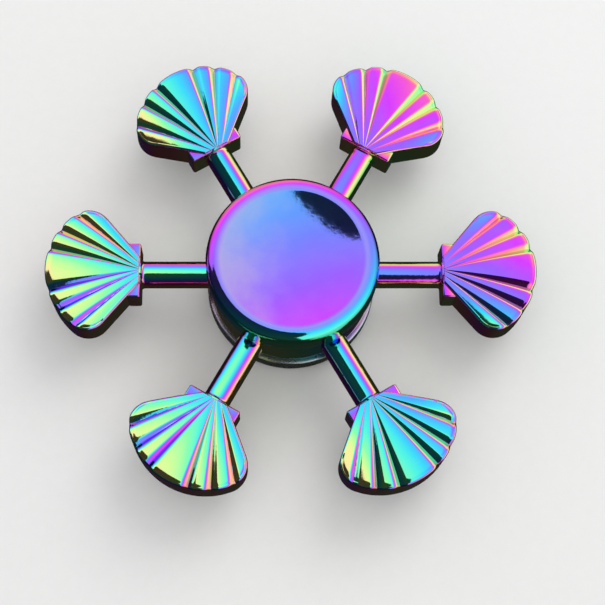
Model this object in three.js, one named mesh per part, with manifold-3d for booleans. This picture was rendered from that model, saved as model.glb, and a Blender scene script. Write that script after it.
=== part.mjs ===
// Six-arm fidget spinner: a ball bearing in a hub ring, six rods that end in scallop shells, and two
// thumb caps that clamp the bearing's inner race. Millimetres, +Z up. The origin is the centre of the
// bearing, Z is the spin axis, and the first arm lies along +X.

import * as THREE from 'three';
import { mergeVertices } from 'three/addons/utils/BufferGeometryUtils.js';
import Module from 'manifold-3d';

const wasm = await Module();
wasm.setup();

// ---- driving dimensions ----

const ARMS = 6;
const TIP_RADIUS = 38.4; // spin axis to the outermost point of a shell
const GAP = 0.05; // between pieces that are pressed or clamped together
const TAIL_GAP = 0.25; // between an arm's threaded end and the bearing

// caps
const CAP_RADIUS = 13.4;
const CAP_FACE_Z = 8.9; // crest of the lip
const CAP_BACK_Z = 4.5;
const DISH_RADIUS = 10.85;
const DISH_DEPTH = 1.6; // lip crest to the middle of the dish
const LIP_DROP = 0.08; // lip crest to the edge of the dish
const CREST_INNER = 11.3;
const CREST_OUTER = 11.6;
const CAP_EDGE = 0.3; // chamfer at the lower edge of the wall
const BOSS_RADIUS = 5.4; // bears on the inner race
const STUD_RADIUS = 2.5;
const STUD_CLEARANCE = 0.1;
const STUD_END_Z = -2.4;
const SOCKET_FLOOR_Z = -3;

// 608 bearing
const BORE_RADIUS = 4;
const RACE_RADIUS = 11;
const RACE_HALF_HEIGHT = 3.5;
const BALLS = 7;
const BALL_RADIUS = 3.969 / 2;
const PITCH_RADIUS = 7.5;
const GROOVE_RADIUS = BALL_RADIUS * 1.06;
const INNER_LAND = 6.05;
const OUTER_LAND = 9.1;
const RACE_CHAMFER = 0.3;
const SHIELD_STEP_Z = 2.75;
const SHIELD_SEAT = 9.65; // radius of the step that holds the shield's rim
const CLIP_GROOVE = 9.95;
const SHIELD_THICKNESS = 0.3;
const SHIELD_BORE = 6.3;
const CLIP_INNER = 9.2;
const CLIP_THICKNESS = 0.2;
const CLIP_MOUTH = 0.16; // half of the opening in the split ring, radians
const CLIP_SEAT_Z = SHIELD_STEP_Z + SHIELD_THICKNESS + GAP;

// cage
const CAGE_INNER = 6.3;
const CAGE_OUTER = 8.7;
const CAGE_THICKNESS = 0.4;
const POCKET_RADIUS = 2.21;
const RIVET_RADIUS = 0.35;
const RIVET_HOLE = 0.45;
const RIVET_HEAD_RADIUS = 0.6;
const RIVET_HEAD = 0.25;

// hub ring
const HUB_RADIUS = 12.95;
const HUB_EDGE = 0.8; // rounding of the outer edges
const HUB_CHAMFER = 0.2;
const SEAT_DEPTH = 0.45; // how far the full rod sinks into the hub wall

// arms
const ROD_RADIUS = 2.12;
const TAIL_RADIUS = 1.9; // threaded end in the hub wall
const ROD_CLEARANCE = 0.15;
const ROD_FILLET = 0.35; // where the rod runs up to the bar
const BASE_RADIUS = 23.65; // spin axis to the inner face of the shell's bar
const BAR_DEPTH = 2.1;
const BAR_HALF_WIDTH = 4.42;
const BAR_HALF_HEIGHT = 2.6;
const BAR_EDGE = 0.3;

// scallop shell, measured from the inner face of its bar
const FAN_HALF_BASE = 2.05;
const FAN_SIDE_ANGLE = THREE.MathUtils.degToRad(50);
const FAN_ARC_RADIUS = 11.8;
const FAN_SHOULDER = 3.6;
const FAN_TOP_Z = 3.9;
const FAN_CREST = 11; // where the domed top is highest
const FAN_DOME_RADIUS = 62;
const FAN_EDGE = 0.5;
const GROOVE_ANGLES = [13.6, 27.6, 42.8];
const GROOVE_SLOPE = 0.058; // groove radius over distance from the apex
const GROOVE_START_Z = 3.15;
const GROOVE_RISE = 0.07; // radians, so that a groove follows the dome

// facets
const RING_SEGMENTS = 36;
const RACE_SEGMENTS = 28;
const ROD_SEGMENTS = 16;
const TAIL_SEGMENTS = 10;
const BORE_SEGMENTS = 12;
const CAGE_SEGMENTS = 3 * BALLS;
const RIVET_SEGMENTS = 6;
const GROOVE_SEGMENTS = 6;
const CLIP_DIVISIONS = 10;
const FAN_DIVISIONS = 5; // leaves a corner of the arc 30 degrees off its middle, an arm's furthest point in Y
const DISH_STEPS = 3;
const EDGE_STEPS = 2;
const LIP_STEPS = 4;
const RACEWAY_STEPS = 4;
const BALL_FACETS = [12, 8]; // round the equator, then from pole to pole
const POCKET_FACETS = [10, 6];
const DOME_FACETS = [10, 26];

const OVERRUN = 1; // how far a cutter or a joined piece runs past a surface
const GROOVE_APEX = 0.01; // radius of a groove cutter at its thin end

// ---- plain solids and booleans ----

// A closed manifold solid from a three.js geometry.
function solid(geometry) {
  const bare = geometry.clone();
  bare.deleteAttribute('normal');
  bare.deleteAttribute('uv');
  const merged = mergeVertices(bare);
  return new wasm.Manifold(new wasm.Mesh({
    numProp: 3,
    vertProperties: merged.attributes.position.array,
    triVerts: new Uint32Array(merged.index.array),
  }));
}

// The BufferGeometry of a manifold solid.
function surface(manifold) {
  const mesh = manifold.getMesh();
  const geometry = new THREE.BufferGeometry();
  geometry.setAttribute('position', new THREE.BufferAttribute(mesh.vertProperties, 3));
  geometry.setIndex(new THREE.BufferAttribute(mesh.triVerts, 1));
  geometry.computeVertexNormals();
  return geometry;
}

// Points [radius, z] turned about Z. The list runs anticlockwise with the radius to the right.
function turned(profile, segments) {
  const points = profile.map(([radius, z]) => new THREE.Vector2(radius, z));
  return new THREE.LatheGeometry(points, segments).rotateX(Math.PI / 2);
}

// The same for a ring, whose profile closes on itself.
function turnedRing(profile, segments) {
  return turned([...profile, profile[0]], segments);
}

// A straight or conical bar along +X from x0 to x1.
function barAlongX(x0, x1, radius0, radius1, segments) {
  return new THREE.CylinderGeometry(radius1, radius0, x1 - x0, segments)
    .rotateZ(-Math.PI / 2)
    .translate((x0 + x1) / 2, 0, 0);
}

// Points on an arc in the profile plane, from angle a0 to a1.
function arc(centreRadius, centreZ, radius, a0, a1, steps) {
  return Array.from({ length: steps + 1 }, (_, i) => {
    const a = a0 + ((a1 - a0) * i) / steps;
    return [centreRadius + radius * Math.cos(a), centreZ + radius * Math.sin(a)];
  });
}

// ---- caps ----

// The dish, lip and wall that both caps share, from the axis on the face round to the boss at the back.
function capFace() {
  const dishFloor = CAP_FACE_Z - DISH_DEPTH;
  const dishRise = DISH_DEPTH - LIP_DROP;
  const dish = Array.from({ length: DISH_STEPS + 1 }, (_, i) => {
    const share = i / DISH_STEPS;
    return [DISH_RADIUS * share, dishFloor + dishRise * share ** 2];
  });
  const roll = CAP_RADIUS - CREST_OUTER;
  const lip = arc(CREST_OUTER, CAP_FACE_Z - roll, roll, Math.PI / 2, 0, LIP_STEPS);
  return [
    ...dish,
    [CREST_INNER, CAP_FACE_Z],
    ...lip,
    [CAP_RADIUS, CAP_BACK_Z + CAP_EDGE],
    [CAP_RADIUS - CAP_EDGE, CAP_BACK_Z],
    [BOSS_RADIUS, CAP_BACK_Z],
    [BOSS_RADIUS, RACE_HALF_HEIGHT + GAP],
  ];
}

function topCap() {
  const stud = [
    [STUD_RADIUS, RACE_HALF_HEIGHT + GAP],
    [STUD_RADIUS, STUD_END_Z + RACE_CHAMFER],
    [STUD_RADIUS - RACE_CHAMFER, STUD_END_Z],
    [0, STUD_END_Z],
  ];
  return turned([...capFace(), ...stud].reverse(), RING_SEGMENTS);
}

// Drawn face up like the top cap, and turned over when it is placed.
function bottomCap() {
  const sleeve = BORE_RADIUS - GAP;
  const socket = STUD_RADIUS + STUD_CLEARANCE;
  const sleeveEnd = GAP - RACE_HALF_HEIGHT;
  const core = [
    [sleeve, RACE_HALF_HEIGHT + GAP],
    [sleeve, sleeveEnd],
    [socket, sleeveEnd],
    [socket, -SOCKET_FLOOR_Z],
    [0, -SOCKET_FLOOR_Z],
  ];
  return turned([...capFace(), ...core].reverse(), RING_SEGMENTS);
}

// ---- bearing ----

// Half of the angle over which a ball groove cuts a race whose land is at landRadius.
function grooveSpan(landRadius) {
  return Math.acos(Math.abs(landRadius - PITCH_RADIUS) / GROOVE_RADIUS);
}

function innerRace() {
  const span = grooveSpan(INNER_LAND);
  const groove = arc(PITCH_RADIUS, 0, GROOVE_RADIUS, Math.PI + span, Math.PI - span, RACEWAY_STEPS);
  return turnedRing([
    [BORE_RADIUS, RACE_HALF_HEIGHT - RACE_CHAMFER],
    [BORE_RADIUS, RACE_CHAMFER - RACE_HALF_HEIGHT],
    [BORE_RADIUS + RACE_CHAMFER, -RACE_HALF_HEIGHT],
    [INNER_LAND, -RACE_HALF_HEIGHT],
    ...groove,
    [INNER_LAND, RACE_HALF_HEIGHT],
    [BORE_RADIUS + RACE_CHAMFER, RACE_HALF_HEIGHT],
  ], RACE_SEGMENTS);
}

// The outer race's steps from the face down to the land, on the +Z side.
function shieldSeat() {
  return [
    [SHIELD_SEAT, RACE_HALF_HEIGHT],
    [CLIP_GROOVE, CLIP_SEAT_Z + CLIP_THICKNESS + 2 * GAP],
    [CLIP_GROOVE, CLIP_SEAT_Z],
    [SHIELD_SEAT, CLIP_SEAT_Z],
    [SHIELD_SEAT, SHIELD_STEP_Z],
    [OUTER_LAND, SHIELD_STEP_Z],
  ];
}

function outerRace() {
  const span = grooveSpan(OUTER_LAND);
  const groove = arc(PITCH_RADIUS, 0, GROOVE_RADIUS, span, -span, RACEWAY_STEPS);
  const upper = shieldSeat();
  const lower = upper.map(([radius, z]) => [radius, -z]).reverse();
  return turnedRing([
    [RACE_RADIUS, RACE_CHAMFER - RACE_HALF_HEIGHT],
    [RACE_RADIUS, RACE_HALF_HEIGHT - RACE_CHAMFER],
    [RACE_RADIUS - RACE_CHAMFER, RACE_HALF_HEIGHT],
    ...upper,
    ...groove,
    ...lower,
    [RACE_RADIUS - RACE_CHAMFER, -RACE_HALF_HEIGHT],
  ], RACE_SEGMENTS);
}

function shield() {
  const low = SHIELD_STEP_Z + GAP / 2;
  const high = low + SHIELD_THICKNESS;
  const rim = SHIELD_SEAT - 2 * GAP;
  return turnedRing([
    [SHIELD_BORE, low],
    [rim, low],
    [rim, high],
    [SHIELD_BORE, high],
  ], RACE_SEGMENTS);
}

function snapRing() {
  const outer = CLIP_GROOVE - 2 * GAP;
  const shape = new THREE.Shape();
  shape.absarc(0, 0, outer, CLIP_MOUTH, 2 * Math.PI - CLIP_MOUTH, false);
  shape.absarc(0, 0, CLIP_INNER, 2 * Math.PI - CLIP_MOUTH, CLIP_MOUTH, true);
  const options = { depth: CLIP_THICKNESS, bevelEnabled: false, curveSegments: CLIP_DIVISIONS };
  return new THREE.ExtrudeGeometry(shape, options).translate(0, 0, CLIP_SEAT_Z + GAP / 2);
}

// Angle about the spin axis of ball i, or of the rivet after it with offset 0.5.
function ballAngle(i, offset = 0) {
  return ((i + offset) * 2 * Math.PI) / BALLS;
}

// A geometry moved out to the pitch circle at the given angle.
function onPitchCircle(geometry, angle) {
  return geometry.translate(PITCH_RADIUS * Math.cos(angle), PITCH_RADIUS * Math.sin(angle), 0);
}

// The upper half of the ribbon cage: a flat ring that bulges over each ball.
function cageHalf() {
  const low = GAP / 2;
  const ring = (z0, z1) => solid(turnedRing([
    [CAGE_INNER, z0],
    [CAGE_OUTER, z0],
    [CAGE_OUTER, z1],
    [CAGE_INNER, z1],
  ], CAGE_SEGMENTS));
  const sphere = (radius) => new THREE.SphereGeometry(radius, ...POCKET_FACETS);
  let ribbon = ring(low, low + CAGE_THICKNESS);
  for (let i = 0; i < BALLS; i += 1) {
    ribbon = ribbon.add(solid(onPitchCircle(sphere(POCKET_RADIUS + CAGE_THICKNESS), ballAngle(i))));
  }
  ribbon = ribbon.intersect(ring(low, POCKET_RADIUS + 2 * CAGE_THICKNESS));
  for (let i = 0; i < BALLS; i += 1) {
    const hole = new THREE.CylinderGeometry(RIVET_HOLE, RIVET_HOLE, 2 * OVERRUN, RIVET_SEGMENTS)
      .rotateX(Math.PI / 2);
    ribbon = ribbon.subtract(solid(onPitchCircle(sphere(POCKET_RADIUS), ballAngle(i))));
    ribbon = ribbon.subtract(solid(onPitchCircle(hole, ballAngle(i, 0.5))));
  }
  return surface(ribbon);
}

function cageRivet() {
  const seat = CAGE_THICKNESS + GAP;
  return turned([
    [0, -seat - RIVET_HEAD],
    [RIVET_HEAD_RADIUS, -seat - RIVET_HEAD],
    [RIVET_HEAD_RADIUS, -seat],
    [RIVET_RADIUS, -seat],
    [RIVET_RADIUS, seat],
    [RIVET_HEAD_RADIUS, seat],
    [RIVET_HEAD_RADIUS, seat + RIVET_HEAD],
    [0, seat + RIVET_HEAD],
  ], RIVET_SEGMENTS);
}

// ---- hub ring ----

function hubRing() {
  const bore = RACE_RADIUS + 2 * GAP;
  const straight = RACE_HALF_HEIGHT - HUB_EDGE;
  let ring = solid(turnedRing([
    [bore, HUB_CHAMFER - RACE_HALF_HEIGHT],
    [bore + HUB_CHAMFER, -RACE_HALF_HEIGHT],
    ...arc(HUB_RADIUS - HUB_EDGE, -straight, HUB_EDGE, -Math.PI / 2, 0, EDGE_STEPS),
    ...arc(HUB_RADIUS - HUB_EDGE, straight, HUB_EDGE, 0, Math.PI / 2, EDGE_STEPS),
    [bore + HUB_CHAMFER, RACE_HALF_HEIGHT],
    [bore, RACE_HALF_HEIGHT - HUB_CHAMFER],
  ], RING_SEGMENTS));
  const seat = ROD_RADIUS + ROD_CLEARANCE;
  const thread = TAIL_RADIUS + ROD_CLEARANCE;
  for (let i = 0; i < ARMS; i += 1) {
    const turn = armAngle(i);
    const outer = barAlongX(HUB_RADIUS - SEAT_DEPTH, HUB_RADIUS + OVERRUN, seat, seat, BORE_SEGMENTS)
      .rotateZ(turn);
    const inner = barAlongX(RACE_RADIUS - OVERRUN, HUB_RADIUS, thread, thread, BORE_SEGMENTS).rotateZ(turn);
    ring = ring.subtract(solid(outer)).subtract(solid(inner));
  }
  return surface(ring);
}

// ---- arms ----

function armAngle(i) {
  return (i * 2 * Math.PI) / ARMS;
}

// The shell's outline seen from above: straight sides, rounded shoulders and one outer arc.
function fanOutline() {
  const centre = TIP_RADIUS - FAN_ARC_RADIUS;
  const along = new THREE.Vector2(Math.cos(FAN_SIDE_ANGLE), Math.sin(FAN_SIDE_ANGLE));
  const inward = new THREE.Vector2(along.y, -along.x);
  // Where a circle of the shoulder's radius touches both the straight side and the outer arc.
  const start = new THREE.Vector2(BASE_RADIUS - centre, FAN_HALF_BASE).addScaledVector(inward, FAN_SHOULDER);
  const reach = FAN_ARC_RADIUS - FAN_SHOULDER;
  const b = start.dot(along);
  const run = -b + Math.sqrt(b * b - start.lengthSq() + reach * reach);
  const shoulder = start.clone().addScaledVector(along, run);
  const sideNormal = FAN_SIDE_ANGLE + Math.PI / 2;
  const arcStart = shoulder.angle();
  const shape = new THREE.Shape();
  shape.moveTo(BASE_RADIUS, -FAN_HALF_BASE);
  shape.absarc(centre + shoulder.x, -shoulder.y, FAN_SHOULDER, -sideNormal, -arcStart, false);
  shape.absarc(centre, 0, FAN_ARC_RADIUS, -arcStart, arcStart, false);
  shape.absarc(centre + shoulder.x, shoulder.y, FAN_SHOULDER, arcStart, sideNormal, false);
  shape.lineTo(BASE_RADIUS, FAN_HALF_BASE);
  return shape;
}

// The ribbed shell: a slab with a slightly domed top, and grooves that widen away from the apex.
function shellFan() {
  const height = FAN_TOP_Z + BAR_HALF_HEIGHT;
  const slab = new THREE.ExtrudeGeometry(fanOutline(), {
    depth: height - 2 * FAN_EDGE,
    bevelThickness: FAN_EDGE,
    bevelSize: FAN_EDGE,
    bevelOffset: -FAN_EDGE,
    bevelSegments: 1,
    curveSegments: FAN_DIVISIONS,
  }).translate(0, 0, FAN_EDGE - BAR_HALF_HEIGHT);
  const dome = new THREE.SphereGeometry(FAN_DOME_RADIUS, ...DOME_FACETS)
    .rotateX(Math.PI / 2)
    .translate(BASE_RADIUS + FAN_CREST, 0, FAN_TOP_Z - FAN_DOME_RADIUS);
  let fan = solid(slab).intersect(solid(dome));
  const reach = TIP_RADIUS - BASE_RADIUS + 2 * OVERRUN;
  for (const degrees of GROOVE_ANGLES) {
    for (const side of [-1, 1]) {
      const groove = barAlongX(0, reach, GROOVE_APEX, reach * GROOVE_SLOPE, GROOVE_SEGMENTS)
        .rotateY(-GROOVE_RISE)
        .rotateZ(side * THREE.MathUtils.degToRad(degrees))
        .translate(BASE_RADIUS, 0, GROOVE_START_Z);
      fan = fan.subtract(solid(groove));
    }
  }
  return fan;
}

// The straight bar that the shell fans out of, with its long edges chamfered.
function shellBar() {
  const half = BAR_HALF_WIDTH - BAR_EDGE;
  const top = BAR_HALF_HEIGHT - BAR_EDGE;
  const shape = new THREE.Shape();
  shape.moveTo(-top, -half);
  shape.lineTo(top, -half);
  shape.lineTo(top, half);
  shape.lineTo(-top, half);
  return new THREE.ExtrudeGeometry(shape, {
    depth: BAR_DEPTH - 2 * BAR_EDGE,
    bevelThickness: BAR_EDGE,
    bevelSize: BAR_EDGE,
    bevelSegments: 1,
  }).rotateY(Math.PI / 2).translate(BASE_RADIUS + BAR_EDGE, 0, 0);
}

// One casting along +X: threaded tail, rod, fillet, bar and shell.
function shellArm() {
  const tailStart = RACE_RADIUS + TAIL_GAP;
  const rodStart = HUB_RADIUS - SEAT_DEPTH + ROD_CLEARANCE;
  const tail = barAlongX(tailStart, rodStart + OVERRUN, TAIL_RADIUS, TAIL_RADIUS, TAIL_SEGMENTS);
  const rod = barAlongX(rodStart, BASE_RADIUS + OVERRUN, ROD_RADIUS, ROD_RADIUS, ROD_SEGMENTS);
  // A 45 degree cone that leaves the rod one fillet short of the bar.
  const fillet = barAlongX(BASE_RADIUS - 2 * ROD_FILLET, BASE_RADIUS + ROD_FILLET,
    ROD_RADIUS - ROD_FILLET, ROD_RADIUS + 2 * ROD_FILLET, ROD_SEGMENTS);
  const pieces = [tail, fillet, shellBar()].map(solid);
  const arm = pieces.reduce((whole, piece) => whole.add(piece), solid(rod).add(shellFan()));
  return surface(arm);
}

// ---- assembly ----

const spinner = new THREE.Group();

function place(name, geometry, colour, roughness, parent = spinner) {
  const material = new THREE.MeshStandardMaterial({ color: colour, roughness, metalness: 1 });
  const mesh = new THREE.Mesh(geometry, material);
  mesh.name = name;
  parent.add(mesh);
  return mesh;
}

// Places a mesh that was drawn for the +Z side on the -Z side.
function placeBelow(name, geometry, colour, roughness) {
  place(name, geometry, colour, roughness).rotation.x = Math.PI;
}

function placeOnPitchCircle(name, geometry, angle, colour, roughness) {
  place(name, geometry, colour, roughness)
    .position.set(PITCH_RADIUS * Math.cos(angle), PITCH_RADIUS * Math.sin(angle), 0);
}

const PLATED_ROUGHNESS = 0.15;
const STEEL_ROUGHNESS = 0.3;
const STEEL = 0xb9bdc2;
const RACE_STEEL = 0x9fa4aa;
const CAGE_STEEL = 0xc8b27a;
const ARM_COLOURS = [0xd24be0, 0xb45cf0, 0x45c8d8, 0x7fdc9a, 0xb8e06a, 0x4f9cf0];

place('top_cap', topCap(), 0x8a7cf2, PLATED_ROUGHNESS);
placeBelow('bottom_cap', bottomCap(), 0xb8b4a8, PLATED_ROUGHNESS);
place('hub_ring', hubRing(), 0x1d3a2c, PLATED_ROUGHNESS);

for (let i = 0; i < ARMS; i += 1) {
  const turn = new THREE.Group();
  turn.rotation.z = armAngle(i);
  spinner.add(turn);
  place(`shell_arm_${i + 1}`, shellArm(), ARM_COLOURS[i], PLATED_ROUGHNESS, turn);
}

place('outer_race', outerRace(), RACE_STEEL, STEEL_ROUGHNESS);
place('inner_race', innerRace(), RACE_STEEL, STEEL_ROUGHNESS);
place('shield_top', shield(), STEEL, STEEL_ROUGHNESS);
placeBelow('shield_bottom', shield(), STEEL, STEEL_ROUGHNESS);
place('snap_ring_top', snapRing(), STEEL, STEEL_ROUGHNESS);
placeBelow('snap_ring_bottom', snapRing(), STEEL, STEEL_ROUGHNESS);
place('cage_upper', cageHalf(), CAGE_STEEL, STEEL_ROUGHNESS);
placeBelow('cage_lower', cageHalf(), CAGE_STEEL, STEEL_ROUGHNESS);

for (let i = 0; i < BALLS; i += 1) {
  const ball = new THREE.SphereGeometry(BALL_RADIUS, ...BALL_FACETS);
  placeOnPitchCircle(`ball_${i + 1}`, ball, ballAngle(i), STEEL, PLATED_ROUGHNESS);
  placeOnPitchCircle(`cage_rivet_${i + 1}`, cageRivet(), ballAngle(i, 0.5), CAGE_STEEL, STEEL_ROUGHNESS);
}

export default spinner;
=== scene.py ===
"""A six-arm fidget spinner with scallop shells, rainbow-plated, on a pale floor.

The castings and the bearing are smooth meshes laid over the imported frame. Lengths are millimetres until a
piece's mesh is made, which is in metres. The spin axis is Z, and the first arm lies along +X.
"""

import math
from typing import NamedTuple

import bmesh
import bpy
import numpy as np
from mathutils import Matrix, Vector


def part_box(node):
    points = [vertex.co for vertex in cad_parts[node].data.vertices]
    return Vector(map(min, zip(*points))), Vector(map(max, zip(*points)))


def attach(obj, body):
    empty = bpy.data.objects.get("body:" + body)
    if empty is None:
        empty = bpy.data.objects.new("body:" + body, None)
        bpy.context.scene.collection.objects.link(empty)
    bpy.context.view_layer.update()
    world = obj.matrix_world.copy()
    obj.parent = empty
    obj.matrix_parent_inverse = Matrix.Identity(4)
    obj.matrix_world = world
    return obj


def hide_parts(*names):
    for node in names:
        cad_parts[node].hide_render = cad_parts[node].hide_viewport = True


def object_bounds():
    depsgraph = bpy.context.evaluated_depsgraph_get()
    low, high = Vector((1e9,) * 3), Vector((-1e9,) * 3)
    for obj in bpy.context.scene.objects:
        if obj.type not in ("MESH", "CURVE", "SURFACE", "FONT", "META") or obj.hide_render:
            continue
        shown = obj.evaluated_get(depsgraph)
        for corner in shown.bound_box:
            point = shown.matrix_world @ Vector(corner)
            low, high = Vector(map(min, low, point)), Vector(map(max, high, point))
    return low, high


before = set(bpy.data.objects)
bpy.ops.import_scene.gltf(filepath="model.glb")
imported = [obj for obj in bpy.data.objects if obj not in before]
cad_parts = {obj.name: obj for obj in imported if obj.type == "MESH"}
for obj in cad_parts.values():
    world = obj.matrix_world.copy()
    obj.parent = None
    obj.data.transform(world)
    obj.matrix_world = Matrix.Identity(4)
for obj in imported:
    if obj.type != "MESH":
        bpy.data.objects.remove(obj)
cad_low, cad_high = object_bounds()

MM = 0.001


def node_reach(node, axis):
    """How far a CAD node reaches along +X, +Y or +Z, in millimetres."""
    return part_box(node)[1][axis] / MM


# ---- sizes ----

ARMS = 6
BALLS = 7
TIP_RADIUS = node_reach("shell_arm_1", 0)
CAP_RADIUS = node_reach("top_cap", 0)
CAP_FACE = node_reach("top_cap", 2)
HUB_RADIUS = node_reach("hub_ring", 0)
RACE_RADIUS = node_reach("outer_race", 0)
RACE_HALF_HEIGHT = node_reach("outer_race", 2)
BALL_RADIUS = node_reach("ball_1", 2)
PITCH_RADIUS = node_reach("ball_1", 0) - BALL_RADIUS
INNER_LAND = node_reach("inner_race", 0)
CAGE_OUTER = -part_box("cage_upper")[0][1] / MM
CLEAR = 0.05
RUN_GAP = 0.3  # from a rounded edge to the first point of the straight run after it

CAP_BACK = 4.5
DISH_DEPTH = 1.6
DISH_RADIUS = 10.85
CREST_RADIUS = 11.45
CREST_WIDTH = 0.3
LIP_DEPTH = 1.9
LIP_GAP = 0.2
CAP_EDGE = 0.28
BOSS_RADIUS = 5.4
STUD_RADIUS = 2.5
STUD_END = -2.4
STUD_CHAMFER = 0.4
THREAD_PITCH = 0.8
THREAD_DEPTH = 0.25
SLEEVE_CHAMFER = 0.2
SOCKET_FLOOR = 3.0
SOCKET_POINT = 0.4

BORE_RADIUS = 4.0
OUTER_LAND = 9.1
RACE_EDGE = 0.3
LAND_EDGE = 0.15
GROOVE_RADIUS = BALL_RADIUS * 1.04
SHIELD_STEP = 2.75
SHIELD_SEAT = 9.65
SHIELD_BORE = 6.3
SHIELD_THICKNESS = 0.3
SHIELD_EDGE = 0.06
SHIELD_FLAT = 0.8
SHIELD_RIM = 0.7
SHIELD_CURL = 0.95
SHIELD_RAMP = 0.15
SHIELD_DIP = 0.07
CLIP_GROOVE = 9.95
CLIP_INNER = 9.2
CLIP_THICKNESS = 0.2
CLIP_MOUTH = 0.16
CAGE_INNER = 6.3
CAGE_THICKNESS = 0.4
CAGE_GAP = 0.12
CAGE_BEND_OUTSIDE = 0.12
CAGE_BEND_INSIDE = 0.05
RIVET_RADIUS = 0.35
RIVET_HEAD_RADIUS = 0.6
RIVET_HEAD = 0.25

HUB_EDGE = 0.8
HUB_CHAMFER = 0.2
SEAT_DEPTH = 0.45

ROD_RADIUS = 2.12
ROD_CHAMFER = 0.1
ROD_FILLET = 0.55
ROD_OVERLAP = 1
TAIL_RADIUS = 1.9
TAIL_CHAMFER = 0.2
TAIL_GAP = 0.25
BASE_RADIUS = 23.65
BAR_DEPTH = 2.1
BAR_HALF_WIDTH = 4.42
BAR_HALF_HEIGHT = 2.58
BAR_EDGE = 0.35

# The shell's fan is drawn with its base on the Y axis. A place on it runs from -1 to 1, side to side.
FAN_INSET = 0.25
FAN_HALF_BASE = 2.05
FAN_SIDE_ANGLE = math.radians(50)
FAN_ARC_RADIUS = 11.8
FAN_CENTRE = np.array([TIP_RADIUS - FAN_ARC_RADIUS - BASE_RADIUS, 0])
FAN_SHOULDER = 3.6
FAN_BOTTOM = -2.6
FAN_TOP = 3.8
FAN_CREST = 11.0
FAN_DOME_RADIUS = 62
FAN_EDGE = 0.45
FAN_BASE_EDGE = 0.12
FAN_BOTTOM_EDGE = 0.7
FAN_START = FAN_INSET + FAN_BASE_EDGE
FAN_NOTCH = 0.17
FAN_NOTCH_WIDTH = 0.055
FAN_ACROSS = 480
FAN_ALONG = 80
GROOVE_PLACES = (0.27, 0.537, 0.80)
GROOVE_SLOPE = 0.65
GROOVE_FLAT = 0.036
GROOVE_SHOULDER = 0.045
GROOVE_LEAST_FLAT = 0.01
GROOVE_LEAST_SHOULDER = 0.02
RIB_CROWN = 0.16
RIM_ROLL = 0.6
RIM_SLOPE = 0.30

RING_SEGMENTS = 240
CAGE_SEGMENTS = 49 * BALLS


# ---- mesh helpers ----


def link_object(name, mesh):
    piece = bpy.data.objects.new(name, mesh)
    bpy.context.scene.collection.objects.link(piece)
    return piece


def smooth(mesh, sharp_degrees=40):
    """Shades a mesh smooth, but for the edges that turn by more than sharp_degrees."""
    mesh.polygons.foreach_set("use_smooth", [True] * len(mesh.polygons))
    mesh.set_sharp_from_angle(angle=math.radians(sharp_degrees))
    mesh.update()


def mesh_object(name, vertices, faces, sharp_degrees=40):
    """A smooth-shaded mesh object from millimetre vertices, with its faces turned outwards."""
    mesh = bpy.data.meshes.new(name)
    mesh.from_pydata((np.asarray(vertices, float) * MM).tolist(), [], faces)
    shape = bmesh.new()
    shape.from_mesh(mesh)
    bmesh.ops.recalc_face_normals(shape, faces=shape.faces)
    shape.to_mesh(mesh)
    shape.free()
    smooth(mesh, sharp_degrees)
    return link_object(name, mesh)


def cube_object(name, shape):
    """A smooth-shaded mesh object from a reshaped cube in millimetres."""
    bmesh.ops.scale(shape, vec=(MM, MM, MM), verts=shape.verts)
    mesh = bpy.data.meshes.new(name)
    shape.to_mesh(mesh)
    shape.free()
    smooth(mesh)
    return link_object(name, mesh)


def arc(centre, radius, start, end, steps):
    """Points [radius, height] on an arc in a turned profile; the angles are in degrees."""
    angles = np.radians(np.linspace(start, end, steps + 1))
    return [(centre[0] + radius * math.cos(a), centre[1] + radius * math.sin(a)) for a in angles]


def straight(start, end, steps):
    """Points on a line, without its last one."""
    return [tuple(np.add(start, np.subtract(end, start) * i / steps)) for i in range(steps)]


def mirrored(points):
    """A turned profile's points on the other side of the middle plane, in reverse."""
    return [(radius, -height) for radius, height in reversed(points)]


def numbered_rings(count, size, first=0):
    """The vertex numbers of rings whose vertices follow one another, from first on."""
    return [range(first + i * size, first + (i + 1) * size) for i in range(count)]


def neighbours(ring):
    """Each vertex number of a ring with the next one round."""
    return zip(ring, [*ring[1:], ring[0]])


def skin(rings):
    """The faces between each ring and the next."""
    faces = []
    for low, high in zip(rings, rings[1:]):
        faces += [(a, b, c, d) for (a, b), (d, c) in zip(neighbours(low), neighbours(high))]
    return faces


def turned(profile, segments=RING_SEGMENTS):
    """Vertices and faces of a profile turned about Z. Its two ends meet, either on the axis or as a ring."""
    on_axis = profile[0][0] == 0
    rows = profile[1:-1] if on_axis else profile
    angles = np.linspace(0, 2 * math.pi, segments, endpoint=False)
    vertices = [(r * math.cos(a), r * math.sin(a), z) for r, z in rows for a in angles]
    rings = numbered_rings(len(rows), segments)
    if not on_axis:
        return vertices, skin([*rings, rings[0]])
    faces = skin(rings)
    first, last = len(vertices), len(vertices) + 1
    vertices += [(0, 0, profile[0][1]), (0, 0, profile[-1][1])]
    for (a, b), (c, d) in zip(neighbours(rings[0]), neighbours(rings[-1])):
        faces += [(first, b, a), (last, c, d)]
    return vertices, faces


def turned_object(name, profile, segments=RING_SEGMENTS, sharp_degrees=40):
    return mesh_object(name, *turned(profile, segments), sharp_degrees)


def turn_over(piece):
    """Turns a piece drawn for the +Z side half round about X, onto the -Z side."""
    piece.data.transform(Matrix.Rotation(math.pi, 4, "X"))
    return piece


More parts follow.
